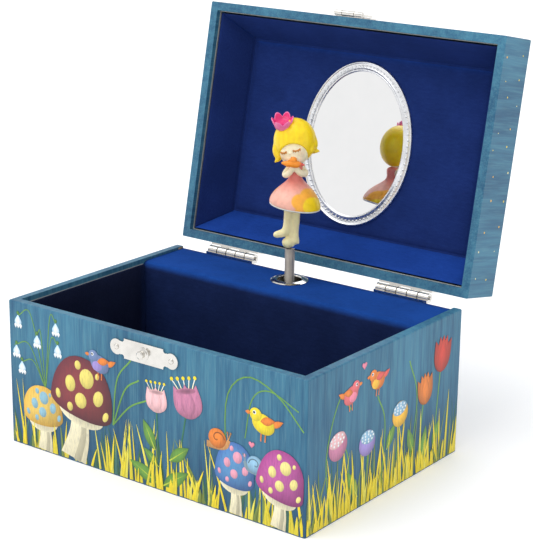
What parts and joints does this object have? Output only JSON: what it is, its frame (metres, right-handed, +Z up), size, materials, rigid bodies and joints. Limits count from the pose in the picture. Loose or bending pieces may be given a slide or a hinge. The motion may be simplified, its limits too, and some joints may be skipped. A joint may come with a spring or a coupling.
{
  "type": "wind-up music box",
  "caption": "Hinged wooden music box with velour-lined compartment, lid mirror, wind-up movement and a turning sprung figurine.",
  "frame": {"origin": "middle of the base's underside, which stands on the table", "axes": "+Z up, +X to the right, the front and its clasp face -Y, the hinged back faces +Y"},
  "size_m": [0.185, 0.191, 0.2114],
  "materials": {
    "printed_paper": "printed, satin varnish",
    "board": "raw fibreboard",
    "lining_paper": "matt",
    "velour": "flocked pile",
    "nickel": "polished nickel plate",
    "mirror": "silvered glass",
    "mirror_rim": "bright embossed",
    "zinc": "die-cast",
    "brass": "satin",
    "steel": "satin",
    "governor_plastic": "moulded",
    "skin": "painted cast resin",
    "dress": "painted cast resin",
    "hair": "painted cast resin",
    "crown": "painted cast resin",
    "bird": "painted cast resin"
  },
  "bodies": {
    "base": {"base_front_wall": "board", "base_back_wall": "board", "base_left_wall": "board", "base_right_wall": "board", "base_bottom": "board", "base_lining_sheet": "lining_paper", "base_paper_wrap": "printed_paper", "compartment_liner": "velour", "compartment_floor": "velour", "platform_cover": "velour", "spindle_eyelet": "nickel", "hinge_left_base_leaf": "nickel", "hinge_right_base_leaf": "nickel", "hinge_pins": "nickel", "hinge_base_screws": "nickel", "clasp_plate": "nickel", "clasp_plate_pins": "nickel", "clasp_stud": "nickel", "movement_bedplate": "zinc", "movement_screws": "steel", "drum_lower_bearing": "zinc", "drum_upper_bearing": "zinc", "barrel_bridge": "zinc", "comb": "steel", "comb_screws": "steel", "key_grommet": "nickel", "governor_frame": "zinc"},
    "lid": {"lid_front_wall": "board", "lid_back_wall": "board", "lid_left_wall": "board", "lid_right_wall": "board", "lid_top": "board", "lid_paper_wrap": "printed_paper", "lid_liner": "velour", "mirror_frame": "mirror_rim", "mirror_glass": "mirror", "hinge_left_lid_leaf": "nickel", "hinge_right_lid_leaf": "nickel", "hinge_lid_screws": "nickel", "hasp_plate": "nickel"},
    "hasp": {"hasp_tongue": "nickel"},
    "drum": {"drum": "brass", "drum_pins": "steel", "drum_arbor": "steel", "drum_pinion": "brass", "drum_wheel": "brass"},
    "barrel": {"spring_barrel": "brass", "barrel_cap": "brass", "mainspring": "steel"},
    "key": {"winding_key": "nickel", "winding_arbor": "steel"},
    "idler": {"governor_idler": "governor_plastic"},
    "fan": {"governor_worm": "governor_plastic"},
    "stop": {"stop_wire": "steel"},
    "stem": {"stem_spring": "steel"},
    "figurine": {"figurine_body": "skin", "figurine_dress": "dress", "figurine_hair": "hair", "figurine_crown": "crown", "figurine_bird": "bird"}
  },
  "joints": [
    {"name": "lid_hinge", "type": "hinge", "parent": "base", "child": "lid", "pos_m": [0, 0.06935, 0.0762], "axis": [1, 0, 0], "range_deg": [0, 101.4]},
    {"name": "hasp_swing", "type": "hinge", "parent": "lid", "child": "hasp", "pos_m": [0, 0.09775, 0.20998], "axis": [1, 0, 0], "range_deg": [0, 180]},
    {"name": "drum_spin", "type": "hinge", "parent": "base", "child": "drum", "pos_m": [-0.0055, 0.0535, 0.05], "axis": [0, 0, 1], "continuous": true},
    {"name": "barrel_spin", "type": "hinge", "parent": "base", "child": "barrel", "pos_m": [-0.0055, 0.045, 0.022], "axis": [0, 1, 0], "continuous": true},
    {"name": "key_wind", "type": "hinge", "parent": "base", "child": "key", "pos_m": [-0.0055, 0.065, 0.022], "axis": [0, 1, 0], "continuous": true},
    {"name": "idler_spin", "type": "hinge", "parent": "base", "child": "idler", "pos_m": [0.0035, 0.0535, 0.06], "axis": [0, 0, 1], "continuous": true},
    {"name": "fan_spin", "type": "hinge", "parent": "base", "child": "fan", "pos_m": [0.015, 0.04715, 0.06225], "axis": [1, 0, 0], "continuous": true},
    {"name": "stop_slide", "type": "slide", "parent": "base", "child": "stop", "axis": [0, 0, -1], "range_m": [0, 0.0024]},
    {"name": "stem_lean", "type": "hinge", "parent": "base", "child": "stem", "pos_m": [-0.0055, 0.0535, 0.0861], "axis": [1, 0, 0], "range_deg": [0, 101.4], "deforming": ["stem_spring"]},
    {"name": "figurine_spin", "type": "hinge", "parent": "stem", "child": "figurine", "pos_m": [-0.0055, 0.0535, 0.0922], "axis": [0, 0, 1], "continuous": true}
  ],
  "couplings": [
    {"joint": "barrel_spin", "follows": "drum_spin", "ratio": 0.3},
    {"joint": "figurine_spin", "follows": "drum_spin", "ratio": 1},
    {"joint": "idler_spin", "follows": "drum_spin", "ratio": -2.6},
    {"joint": "fan_spin", "follows": "drum_spin", "ratio": 39},
    {"joint": "stem_lean", "follows": "lid_hinge", "ratio": 1},
    {"joint": "stop_slide", "follows": "lid_hinge", "m_per_rad": 0.0013561}
  ]
}
